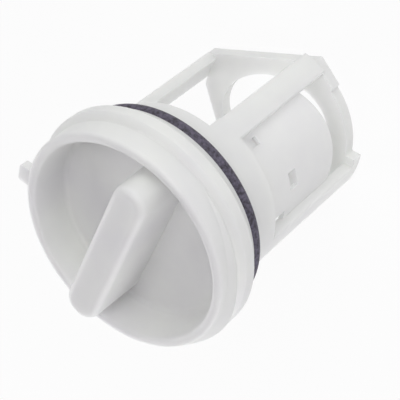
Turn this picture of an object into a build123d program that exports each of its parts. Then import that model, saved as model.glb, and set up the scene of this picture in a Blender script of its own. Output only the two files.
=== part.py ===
"""Drain pump filter of a washing machine: a white moulded cap and basket with a rubber O-ring.

It stands on the end plate of its basket. Z runs up the axis to the cap, and X runs out through
the basket's one closed side. The other three sides are open. All sizes are in millimetres.
"""
import os
from math import cos, radians, sin

from build123d import *

os.makedirs("parts", exist_ok=True)

# Basket and neck
basket_radius = 25.0
basket_wall = 2.8
narrow_window_top = 40.0
wide_window_rise = 4.0
neck_length = 9.8
rib_window_edges = (51.4, -47.3)
rib_closed_edges = (35.2, -31.1)
rib_back_edge = 33.0
rib_round = 0.6

# End plate of the basket
plate_thickness = 3.5
plate_inset = 2.7
plate_flat_inset = 7.0
plate_flat_turn = -3.3
plate_back_inset = 4.9
plate_hole_length = 33.6
plate_hole_width = 26.4
plate_round = 0.4
ear_edges = (23.5, -25.0)
ear_flat_edge = 65.0
ear_trim_step = 0.9
ear_trim_angle = 22.0
ear_round = 0.5

# Curved panel that closes one side, set in from the ribs
panel_recess = 2.4
panel_wall = 1.2
panel_edge = 42.0
panel_gap_middle = 6.8
panel_gap_side = 10.5
panel_slot_width = 4.6
panel_slot_height = 3.0
panel_slot_drop = 11.7
panel_slot_angle = -6.5
relief_widths = (2.2, 3.5)
relief_heights = (2.6, 5.0)
relief_drops = (4.7, 5.3)
relief_angles = (29.0, -28.7)

# O-ring and the groove that holds it
seal_section = 4.0
seal_groove_depth = 0.8
seal_clearance = 0.05

# Cap
flange_overhang = 3.4
flange_height = 1.2
rim_step = 0.6
collar_proud = 1.7
collar_height = 3.0
collar_rear_slope = 2.0
collar_front_slope = 1.5
rim_height = 6.5
rim_lip = 2.5
rim_round = 1.1
collar_round = 0.6
foot_round = 0.6
recess_depth = 10.0
recess_draft = 1.3
recess_round = 1.5
floor_thickness = 2.5

# Turning grip across the recess
grip_end_gap = 0.7
grip_width = 10.0
grip_proud = 6.4
grip_draft = 1.2
grip_round = 2.0
grip_angle = 48.0

# Stop lug on the rim
lug_width = 5.0
lug_depth = 3.0
lug_reach = 3.0
lug_drop = 0.7
lug_round = 0.8
lug_angle = 148.0

# Heights along the axis, up from the end plate
neck_end = narrow_window_top + neck_length
seal_centre = neck_end + seal_clearance + seal_section / 2
flange_rear = neck_end + seal_section + 2 * seal_clearance
collar_rear = flange_rear + flange_height + collar_rear_slope
collar_front = collar_rear + collar_height
collar_foot = collar_front + collar_front_slope
rim_front = collar_foot + rim_height
recess_floor = rim_front - recess_depth
wide_window_top = narrow_window_top + wide_window_rise

# Radii, outwards from the basket to the cap
seal_groove_radius = basket_radius - seal_groove_depth
flange_radius = basket_radius + flange_overhang
rim_radius = flange_radius + rim_step
collar_radius = rim_radius + collar_proud
recess_radius = rim_radius - rim_lip
recess_floor_radius = recess_radius - recess_draft
plate_radius = basket_radius - plate_inset
neck_bore = basket_radius - basket_wall
panel_radius = basket_radius - panel_recess

# Each rib runs between two angles about the axis: the closed side first, then the open back
rib_spans = [
    (rib_closed_edges[0], rib_window_edges[0]),
    (rib_window_edges[1], rib_closed_edges[1]),
    (180 - rib_window_edges[0], 180 - rib_back_edge),
    (180 + rib_back_edge, 180 + rib_window_edges[0]),
]
ear_spans = [
    (ear_edges[0], ear_flat_edge),
    (rib_window_edges[1], ear_edges[1]),
    (180 - ear_flat_edge, 180 - rib_back_edge),
    (180 + rib_back_edge, 180 + rib_window_edges[0]),
]
window_spans = [
    (rib_window_edges[0], 180 - rib_window_edges[0]),
    (180 + rib_window_edges[0], 360 + rib_window_edges[1]),
]
reach = 3 * basket_radius


def wedge(start, end):
    """Wedge from the axis outwards, between two angles."""
    corners = [(reach * cos(radians(turn)), reach * sin(radians(turn))) for turn in (start, end)]
    return Polygon((0, 0), *corners, align=None)


with BuildSketch() as ears:
    for ear_span in ear_spans:
        wedge(*ear_span)
    Circle(basket_radius, mode=Mode.INTERSECT)


with BuildPart() as filter_body:
    # End plate: straight at the back, with an ear under each rib and one open side cut flat
    with BuildSketch() as plate_outline:
        Circle(plate_radius)
        with Locations((plate_back_inset - basket_radius, 0)):
            Rectangle(reach, reach, align=(Align.MAX, Align.CENTER), mode=Mode.SUBTRACT)
        add(ears.sketch)
        with Locations(Location((0, 0, 0), (0, 0, plate_flat_turn))):
            with Locations((0, basket_radius - plate_flat_inset)):
                Rectangle(reach, reach, align=(Align.CENTER, Align.MIN), mode=Mode.SUBTRACT)
        with Locations(Location((0, 0, 0), (0, 0, ear_trim_angle))):
            with Locations((plate_radius + ear_trim_step, 0)):
                Rectangle(reach, reach, align=(Align.MIN, Align.CENTER), mode=Mode.SUBTRACT)
        fillet(plate_outline.vertices().group_by(SortBy.DISTANCE)[0], ear_round)
        Ellipse(plate_hole_length / 2, plate_hole_width / 2, mode=Mode.SUBTRACT)
    extrude(amount=plate_thickness)
    fillet(filter_body.faces().sort_by(Axis.Z)[0].edges(), plate_round)

    # Curved panel of the closed side, cut to an arch at its lower edge
    with BuildSketch(Plane.XY.offset(plate_thickness)) as panel_section:
        wedge(-panel_edge, panel_edge)
        Circle(panel_radius, mode=Mode.INTERSECT)
        Circle(panel_radius - panel_wall, mode=Mode.SUBTRACT)
    extrude(amount=wide_window_top - plate_thickness)
    with BuildSketch(Plane.YZ) as panel_arch:
        with BuildLine():
            arch_side = plate_thickness + panel_gap_side
            arch_middle = plate_thickness + panel_gap_middle
            half_width = panel_radius * sin(radians(panel_edge))
            arch = ThreePointArc((-half_width, arch_side), (0, arch_middle), (half_width, arch_side))
            Polyline(arch @ 1, (basket_radius, arch_side), (basket_radius, plate_thickness),
                     (-basket_radius, plate_thickness), (-basket_radius, arch_side), arch @ 0)
        make_face()
    extrude(amount=basket_radius, mode=Mode.SUBTRACT)

    # One slot in the panel, and a relief opening beside each of its ribs
    slot_place = Location((0, 0, narrow_window_top - panel_slot_drop), (0, 0, panel_slot_angle))
    with Locations(slot_place):
        Box(basket_radius, panel_slot_width, panel_slot_height,
            align=(Align.MIN, Align.CENTER, Align.CENTER), mode=Mode.SUBTRACT)
    for width, height, drop, turn in zip(relief_widths, relief_heights, relief_drops, relief_angles):
        with Locations(Location((0, 0, narrow_window_top - drop), (0, 0, turn))):
            Box(basket_radius, width, height,
                align=(Align.MIN, Align.CENTER, Align.CENTER), mode=Mode.SUBTRACT)

    # Cap, seal groove and neck, turned as one profile
    with BuildSketch(Plane.XZ) as cap_profile:
        with BuildLine():
            Polyline(
                (0, recess_floor - floor_thickness),
                (0, recess_floor),
                (recess_floor_radius, recess_floor),
                (recess_radius, rim_front),
                (rim_radius, rim_front),
                (rim_radius, collar_foot),
                (collar_radius, collar_front),
                (collar_radius, collar_rear),
                (flange_radius, collar_rear - collar_rear_slope),
                (flange_radius, flange_rear),
                (seal_groove_radius, flange_rear),
                (seal_groove_radius, neck_end),
                (basket_radius, neck_end),
                (basket_radius, narrow_window_top),
                (neck_bore, narrow_window_top),
                (neck_bore, recess_floor - floor_thickness),
                close=True,
            )
        make_face()
        fillet(cap_profile.vertices().group_by(Axis.Y)[-1], rim_round)
        fillet(cap_profile.vertices().group_by(Axis.X)[-1], collar_round)
        fillet(cap_profile.vertices().sort_by_distance((rim_radius, collar_foot))[0], foot_round)
        fillet(cap_profile.vertices().sort_by_distance((recess_floor_radius, recess_floor))[0], recess_round)
    revolve(axis=Axis.Z)

    # The open sides reach further up into the neck than the closed one and the back
    with BuildSketch(Plane.XY.offset(narrow_window_top)) as wide_windows:
        for span in window_spans:
            wedge(*span)
    extrude(amount=wide_window_rise, mode=Mode.SUBTRACT)

    # Four ribs from the neck down to the end plate, with rounded outer edges
    with BuildSketch(Plane.XY.offset(plate_thickness)) as rib_section:
        for span in rib_spans:
            wedge(*span)
        Circle(basket_radius, mode=Mode.INTERSECT)
        Circle(neck_bore, mode=Mode.SUBTRACT)
        fillet(rib_section.vertices().group_by(SortBy.DISTANCE)[-1], rib_round)
    extrude(amount=narrow_window_top - plate_thickness)

    # Stop lug, just behind the front of the rim
    with BuildSketch(Plane.XY.offset(rim_front - lug_depth)) as lug_outline:
        with Locations(Location((0, 0, 0), (0, 0, lug_angle))):
            with Locations((rim_radius - rim_lip / 2, 0)):
                Rectangle(lug_reach + rim_lip / 2, lug_width, align=(Align.MIN, Align.CENTER))
        fillet(lug_outline.vertices().sort_by(SortBy.DISTANCE)[-2:], lug_round)
    extrude(amount=lug_depth - lug_drop)

    # Turning grip, drafted from the recess floor up to its rounded ridge
    with BuildSketch(Plane.XY.offset(recess_floor)) as grip_outline:
        SlotOverall(2 * (recess_floor_radius - grip_end_gap), grip_width, rotation=grip_angle)
    extrude(amount=recess_depth + grip_proud, taper=grip_draft)
    fillet(filter_body.faces().sort_by(Axis.Z)[-1].edges(), grip_round)

filter_body.part.label = "filter_body"
export_step(filter_body.part, "parts/filter_body.step")


with BuildPart() as seal_ring:
    # O-ring of round section, seated in the groove between neck and flange
    with BuildSketch(Plane.XZ) as ring_section:
        with Locations((seal_groove_radius + seal_clearance + seal_section / 2, seal_centre)):
            Circle(seal_section / 2)
    revolve(axis=Axis.Z)

seal_ring.part.label = "seal_ring"
export_step(seal_ring.part, "parts/seal_ring.step")
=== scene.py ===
from math import cos, pi, radians, sin

import bpy
from mathutils import Matrix, Vector


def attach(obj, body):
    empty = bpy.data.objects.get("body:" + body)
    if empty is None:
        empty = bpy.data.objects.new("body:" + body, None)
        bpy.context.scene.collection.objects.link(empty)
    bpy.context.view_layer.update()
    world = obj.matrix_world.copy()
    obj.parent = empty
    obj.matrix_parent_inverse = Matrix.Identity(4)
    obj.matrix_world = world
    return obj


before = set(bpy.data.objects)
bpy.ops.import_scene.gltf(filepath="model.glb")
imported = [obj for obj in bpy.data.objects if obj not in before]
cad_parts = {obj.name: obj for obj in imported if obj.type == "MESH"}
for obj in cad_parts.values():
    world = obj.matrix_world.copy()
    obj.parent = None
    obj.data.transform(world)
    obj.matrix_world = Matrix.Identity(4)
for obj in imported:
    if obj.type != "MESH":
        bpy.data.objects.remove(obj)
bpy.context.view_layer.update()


# Filter body: cap, neck and basket in one piece of white polypropylene.
# It is injection moulded, so its faces are satin and its edges slightly round.
MM = 0.001


def linear(hex_colour):
    channels = [int(hex_colour[i:i + 2], 16) / 255 for i in (1, 3, 5)]
    return [c / 12.92 if c <= 0.04045 else ((c + 0.055) / 1.055) ** 2.4 for c in channels] + [1.0]


def add_node(tree, kind, values=None, links=None, **settings):
    node = tree.nodes.new(kind)
    for name, value in settings.items():
        setattr(node, name, value)
    for socket, value in (values or {}).items():
        node.inputs[socket].default_value = value
    for socket, source in (links or {}).items():
        tree.links.new(source, node.inputs[socket])
    return node


# Moulded polypropylene: milky and a little translucent, so light fills its thin walls and its
# shadows stay soft. The tool's fine texture breaks the gloss, and the flow leaves pale clouds.
CLOUD_SIZE = 15 * MM
CLOUD_START = 0.3
CLOUD_FULL = 0.7
PLAIN_WHITE = "#e6e6e6"
CLOUD_WHITE = "#ecedea"
ROUGHNESS_LOW = 0.5
ROUGHNESS_HIGH = 0.62
WAVE_SIZE = 7 * MM
WAVE_HEIGHT = 0.05 * MM
WAVE_STRENGTH = 0.4
# The real texture is about 0.1 mm and wouldn't show, so it is drawn at 0.5 mm
GRAIN_SIZE = 0.5 * MM
GRAIN_HEIGHT = 0.008 * MM
GRAIN_STRENGTH = 0.5
POLYPROPYLENE_IOR = 1.49
TRANSLUCENCE = 0.85
LIGHT_REACH = 4 * MM
polypropylene = bpy.data.materials.new("moulded_polypropylene_white")
polypropylene.use_nodes = True
tree = polypropylene.node_tree
tree.nodes.clear()
place = add_node(tree, "ShaderNodeTexCoord").outputs["Object"]
cloud = add_node(tree, "ShaderNodeTexNoise", {"Scale": 1 / CLOUD_SIZE, "Detail": 3.0},
                 {"Vector": place})
tint = add_node(tree, "ShaderNodeValToRGB", links={"Fac": cloud.outputs["Fac"]})
tint.color_ramp.elements[0].position = CLOUD_START
tint.color_ramp.elements[0].color = linear(PLAIN_WHITE)
tint.color_ramp.elements[1].position = CLOUD_FULL
tint.color_ramp.elements[1].color = linear(CLOUD_WHITE)
sheen = add_node(tree, "ShaderNodeMapRange", {"To Min": ROUGHNESS_LOW, "To Max": ROUGHNESS_HIGH},
                 {"Value": cloud.outputs["Fac"]})
wave = add_node(tree, "ShaderNodeTexNoise", {"Scale": 1 / WAVE_SIZE, "Detail": 1.0},
                {"Vector": place})
grain = add_node(tree, "ShaderNodeTexNoise", {"Scale": 1 / GRAIN_SIZE, "Detail": 2.0},
                 {"Vector": place})
wave_bump = add_node(tree, "ShaderNodeBump", {"Strength": WAVE_STRENGTH, "Distance": WAVE_HEIGHT},
                     {"Height": wave.outputs["Fac"]})
grain_bump = add_node(tree, "ShaderNodeBump", {"Strength": GRAIN_STRENGTH, "Distance": GRAIN_HEIGHT},
                      {"Height": grain.outputs["Fac"], "Normal": wave_bump.outputs["Normal"]})
plastic = add_node(tree, "ShaderNodeBsdfPrincipled",
                   {"IOR": POLYPROPYLENE_IOR, "Subsurface Weight": TRANSLUCENCE,
                    "Subsurface Radius": (1.0, 1.0, 1.0), "Subsurface Scale": LIGHT_REACH},
                   {"Base Color": tint.outputs["Color"], "Roughness": sheen.outputs["Result"],
                    "Normal": grain_bump.outputs["Normal"]})
add_node(tree, "ShaderNodeOutputMaterial", links={"Surface": plastic.outputs["BSDF"]})

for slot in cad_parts["filter_body"].material_slots:
    slot.material = polypropylene


# Relief skin: a thin curved web that closes the small relief beside one rib from inside, so that
# the relief is a shallow pocket. It is moulded with the panel, in the same polypropylene.
# Angles are in degrees about the axis.
SKIN_FIRST_ANGLE = 33.2
SKIN_LAST_ANGLE = 24.8
SKIN_STEPS = 8
SKIN_INSIDE = 20.9 * MM
SKIN_OUTSIDE = 21.45 * MM
SKIN_LOW = 33.5 * MM
SKIN_HIGH = 37.1 * MM
SHARP_ANGLE = 50


# Each row is one closed section, and the rows follow each other clockwise about the axis
def moulded_piece(name, rows, material):
    count = len(rows[0])
    last = (len(rows) - 1) * count
    faces = [tuple(range(count - 1, -1, -1)), tuple(range(last, last + count))]
    for start in range(0, last, count):
        for j in range(count):
            k = (j + 1) % count
            faces.append((start + j, start + k, start + count + k, start + count + j))
    mesh = bpy.data.meshes.new(name)
    mesh.from_pydata([point for row in rows for point in row], [], faces)
    mesh.update()
    mesh.shade_smooth()
    mesh.set_sharp_from_angle(angle=radians(SHARP_ANGLE))
    mesh.materials.append(material)
    piece = bpy.data.objects.new(name, mesh)
    bpy.context.scene.collection.objects.link(piece)
    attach(piece, "root")
    # The piece is one with the milky wall that it lies on, so it doesn't shade that wall
    piece.visible_shadow = False


skin_section = (
    (SKIN_OUTSIDE, SKIN_LOW),
    (SKIN_OUTSIDE, SKIN_HIGH),
    (SKIN_INSIDE, SKIN_HIGH),
    (SKIN_INSIDE, SKIN_LOW),
)
skin_rows = []
for step in range(SKIN_STEPS + 1):
    angle = radians(SKIN_FIRST_ANGLE + (SKIN_LAST_ANGLE - SKIN_FIRST_ANGLE) * step / SKIN_STEPS)
    skin_rows.append([(r * cos(angle), r * sin(angle), level) for r, level in skin_section])
moulded_piece("relief_skin", skin_rows, polypropylene)


# Thread ridges: two rounded ramps of polypropylene, moulded on the outside of the cap.
# Each starts at the collar and widens towards the rim, so that turning the cap pulls it in.
# Further round it swells, and at its end it fades out. Turns are in degrees from its thin end.
RIDGE_FOOT = 28.96 * MM
RIDGE_ROOT = 1.0 * MM
RIDGE_HEIGHT = 0.85 * MM
RIDGE_REAR = 61.75 * MM
RIDGE_TIP_WIDTH = 0.1 * MM
RIDGE_WIDENING = 5.4 * MM
RIDGE_WIDEST_TURN = 90
RIDGE_FULL_WIDTH = 4.0 * MM
RIDGE_LEAN = 0.6
RIDGE_FULLNESS = 2
RIDGE_END = 20
SWELL_START = 50
SWELL_LENGTH = 40
SWELL_HEIGHT = 1.08 * MM
SWELL_WIDTH = 1.5 * MM
SWELL_FULLNESS = 0.9
RIDGE_POINTS = 16
STEPS_PER_DEGREE = 2


def ease(share):
    share = min(max(share, 0.0), 1.0)
    return share * share * (3 - 2 * share)


# Moulded polypropylene on a solid wall: as white and satin as the rest, but no light comes
# through it from behind.
solid_polypropylene = polypropylene.copy()
solid_polypropylene.name = "moulded_polypropylene_white_solid_wall"
for node in solid_polypropylene.node_tree.nodes:
    if node.type == "BSDF_PRINCIPLED":
        node.inputs["Subsurface Weight"].default_value = 0.0


def thread_ridge(name, first_angle, turn_length):
    rows = []
    for step in range(STEPS_PER_DEGREE * turn_length + 1):
        turn = step / STEPS_PER_DEGREE
        width = RIDGE_TIP_WIDTH + RIDGE_WIDENING * sin(radians(min(turn, RIDGE_WIDEST_TURN)))
        swell = ease((turn - SWELL_START) / SWELL_LENGTH)
        rear = RIDGE_REAR - SWELL_WIDTH * swell
        height = RIDGE_HEIGHT * ease(width / RIDGE_FULL_WIDTH) + SWELL_HEIGHT * swell
        height *= ease((turn_length - turn) / RIDGE_END)
        width += SWELL_WIDTH * swell
        fullness = RIDGE_FULLNESS - SWELL_FULLNESS * swell
        section = []
        for i in range(RIDGE_POINTS + 1):
            across = i / RIDGE_POINTS
            crown = max(sin(pi * across ** RIDGE_LEAN), 0.0) ** fullness
            section.append((RIDGE_FOOT + height * crown, rear + width * across))
        section.append((RIDGE_FOOT - RIDGE_ROOT, rear + width / 2))
        angle = radians(first_angle - turn)
        rows.append([(r * cos(angle), r * sin(angle), level) for r, level in section])
    moulded_piece(name, rows, solid_polypropylene)


thread_ridge("thread_ridge_front", first_angle=33, turn_length=122)
thread_ridge("thread_ridge_back", first_angle=213, turn_length=70)


# O-ring: one ring of nitrile rubber, moulded in one piece.
# It is stretched into the groove behind the cap and held by its own pull.

# Moulded nitrile rubber: nearly black and matt, with a grey bloom and small pits that break up
# its highlight. The real ones are about 0.1 mm and wouldn't show, so they are drawn coarser.
BLOOM_SIZE = 0.9 * MM
BLOOM_START = 0.35
BLOOM_FULL = 0.7
RUBBER_BLACK = "#29242f"
BLOOM_GREY = "#645e71"
BARE_ROUGHNESS = 0.55
BLOOM_ROUGHNESS = 0.72
PIT_SIZE = 0.6 * MM
PIT_HEIGHT = 0.03 * MM
PIT_STRENGTH = 0.5
NITRILE_IOR = 1.52
rubber = bpy.data.materials.new("moulded_nitrile_rubber_black")
rubber.use_nodes = True
tree = rubber.node_tree
tree.nodes.clear()
place = add_node(tree, "ShaderNodeTexCoord").outputs["Object"]
bloom = add_node(tree, "ShaderNodeTexNoise", {"Scale": 1 / BLOOM_SIZE, "Detail": 4.0},
                 {"Vector": place})
dust = add_node(tree, "ShaderNodeValToRGB", links={"Fac": bloom.outputs["Fac"]})
dust.color_ramp.elements[0].position = BLOOM_START
dust.color_ramp.elements[0].color = linear(RUBBER_BLACK)
dust.color_ramp.elements[1].position = BLOOM_FULL
dust.color_ramp.elements[1].color = linear(BLOOM_GREY)
dullness = add_node(tree, "ShaderNodeMapRange", {"To Min": BARE_ROUGHNESS, "To Max": BLOOM_ROUGHNESS},
                    {"Value": bloom.outputs["Fac"]})
pits = add_node(tree, "ShaderNodeTexNoise", {"Scale": 1 / PIT_SIZE, "Detail": 2.0},
                {"Vector": place})
pit_bump = add_node(tree, "ShaderNodeBump", {"Strength": PIT_STRENGTH, "Distance": PIT_HEIGHT},
                    {"Height": pits.outputs["Fac"]})
ring_shader = add_node(tree, "ShaderNodeBsdfPrincipled", {"IOR": NITRILE_IOR},
                       {"Base Color": dust.outputs["Color"], "Roughness": dullness.outputs["Result"],
                        "Normal": pit_bump.outputs["Normal"]})
add_node(tree, "ShaderNodeOutputMaterial", links={"Surface": ring_shader.outputs["BSDF"]})

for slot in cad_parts["seal_ring"].material_slots:
    slot.material = rubber


# Studio floor: a table top of opal acrylic that the filter stands on, lit from below.
# It is one sheet, it shows as plain white, and it still takes the filter's soft shadow.
FLOOR_HALF = 3.0
FLOOR_LEVEL = -0.05 * MM
corners = ((-1, -1), (1, -1), (1, 1), (-1, 1))
floor_points = [(x * FLOOR_HALF, y * FLOOR_HALF, FLOOR_LEVEL) for x, y in corners]
floor_mesh = bpy.data.meshes.new("studio_floor")
floor_mesh.from_pydata(floor_points, [], [(0, 1, 2, 3)])
floor = bpy.data.objects.new("studio_floor", floor_mesh)
bpy.context.scene.collection.objects.link(floor)

# Opal acrylic: a white sheet lit evenly from below, so bright to the eye that its edge is lost.
# It shines less on the filter than it looks, and a little of its surface still takes the shadow.
TABLE_GLOW = 0.93
TABLE_LIGHT = 0.77
TABLE_WHITE = "#f4f4f4"
opal = bpy.data.materials.new("opal_acrylic_sheet")
opal.use_nodes = True
tree = opal.node_tree
tree.nodes.clear()
ray = add_node(tree, "ShaderNodeLightPath")
seen = add_node(tree, "ShaderNodeMath", operation="MAXIMUM",
                links={0: ray.outputs["Is Camera Ray"], 1: ray.outputs["Is Glossy Ray"]})
seen_through = add_node(tree, "ShaderNodeMath", operation="MAXIMUM",
                        links={0: seen.outputs[0], 1: ray.outputs["Is Transmission Ray"]})
light = add_node(tree, "ShaderNodeMapRange", {"To Min": TABLE_LIGHT, "To Max": 1.0},
                 {"Value": seen_through.outputs[0]})
sheet = add_node(tree, "ShaderNodeBsdfDiffuse", {"Color": linear(TABLE_WHITE)})
glow = add_node(tree, "ShaderNodeEmission", {"Color": linear("#ffffff")},
                {"Strength": light.outputs["Result"]})
mixed = add_node(tree, "ShaderNodeMixShader", {0: TABLE_GLOW},
                 {1: sheet.outputs[0], 2: glow.outputs[0]})
add_node(tree, "ShaderNodeOutputMaterial", links={"Surface": mixed.outputs[0]})
floor_mesh.materials.append(opal)


# Studio light: six soft boxes of white cloth on stands round the table, in a dim room.
# Each is wide and close, so that no shadow is hard, and the sides of the filter stay apart in tone.
# The backdrop is plain white, and only the eye and reflections see how bright it is.
ROOM_LIGHT = 0.11
ROOM_TINT = "#ebdff8"
world = bpy.data.worlds.new("dim_room")
bpy.context.scene.world = world
world.use_nodes = True
tree = world.node_tree
tree.nodes.clear()
ray = add_node(tree, "ShaderNodeLightPath")
seen = add_node(tree, "ShaderNodeMath", operation="MAXIMUM",
                links={0: ray.outputs["Is Camera Ray"], 1: ray.outputs["Is Glossy Ray"]})
seen_through = add_node(tree, "ShaderNodeMath", operation="MAXIMUM",
                        links={0: seen.outputs[0], 1: ray.outputs["Is Transmission Ray"]})
room = add_node(tree, "ShaderNodeBackground", {"Color": linear(ROOM_TINT), "Strength": ROOM_LIGHT})
white = add_node(tree, "ShaderNodeBackground", {"Color": linear("#ffffff"), "Strength": 1.0})
mixed = add_node(tree, "ShaderNodeMixShader",
                 links={0: seen_through.outputs[0], 1: room.outputs[0], 2: white.outputs[0]})
add_node(tree, "ShaderNodeOutputWorld", links={"Surface": mixed.outputs[0]})

AIM = Vector((0, 0, 45 * MM))
BOX_DISTANCE = 0.7
BOX_WIDTH = 0.45


def soft_box(name, azimuth, elevation, power, colour):
    lamp = bpy.data.lights.new(name, "AREA")
    lamp.shape = "SQUARE"
    lamp.size = BOX_WIDTH
    lamp.energy = power
    lamp.color = linear(colour)[:3]
    box = bpy.data.objects.new(name, lamp)
    way = Vector((cos(radians(azimuth)) * cos(radians(elevation)),
                  sin(radians(azimuth)) * cos(radians(elevation)),
                  sin(radians(elevation))))
    box.location = AIM + way * BOX_DISTANCE
    box.rotation_euler = way.to_track_quat("Z", "Y").to_euler()
    bpy.context.scene.collection.objects.link(box)


soft_box("high_soft_box", azimuth=45, elevation=55, power=1.46, colour="#fffdff")
soft_box("side_soft_box", azimuth=50, elevation=25, power=0.8, colour="#fcfffb")
soft_box("low_soft_box", azimuth=75, elevation=5, power=1.4, colour="#fcfffb")
soft_box("corner_soft_box", azimuth=-30, elevation=20, power=0.75, colour="#ffffff")
soft_box("front_soft_box", azimuth=-95, elevation=15, power=2.1, colour="#ffffff")
soft_box("back_soft_box", azimuth=198, elevation=15, power=2.2, colour="#ffffff")


# Camera: a long lens above the cap, turned about its own line of sight.
# In its picture the filter lies with its cap to the lower left and its basket to the upper right.
LENS = 126
SENSOR_WIDTH = 36
CAMERA_PLACE = Vector((223.07, 140.10, 261.80)) * MM
LOOK = Vector((-0.6422, -0.4170, -0.6432)).normalized()
UP = Vector((-0.0786, 0.8705, -0.4860))
camera_data = bpy.data.cameras.new("camera")
camera_data.lens = LENS
camera_data.sensor_width = SENSOR_WIDTH
camera = bpy.data.objects.new("camera", camera_data)
right = LOOK.cross(UP).normalized()
top = right.cross(LOOK)
camera_turn = Matrix((right, top, -LOOK)).transposed().to_4x4()
camera.matrix_world = Matrix.Translation(CAMERA_PLACE) @ camera_turn
bpy.context.scene.collection.objects.link(camera)
bpy.context.scene.camera = camera
bpy.context.scene.view_settings.view_transform = "Standard"
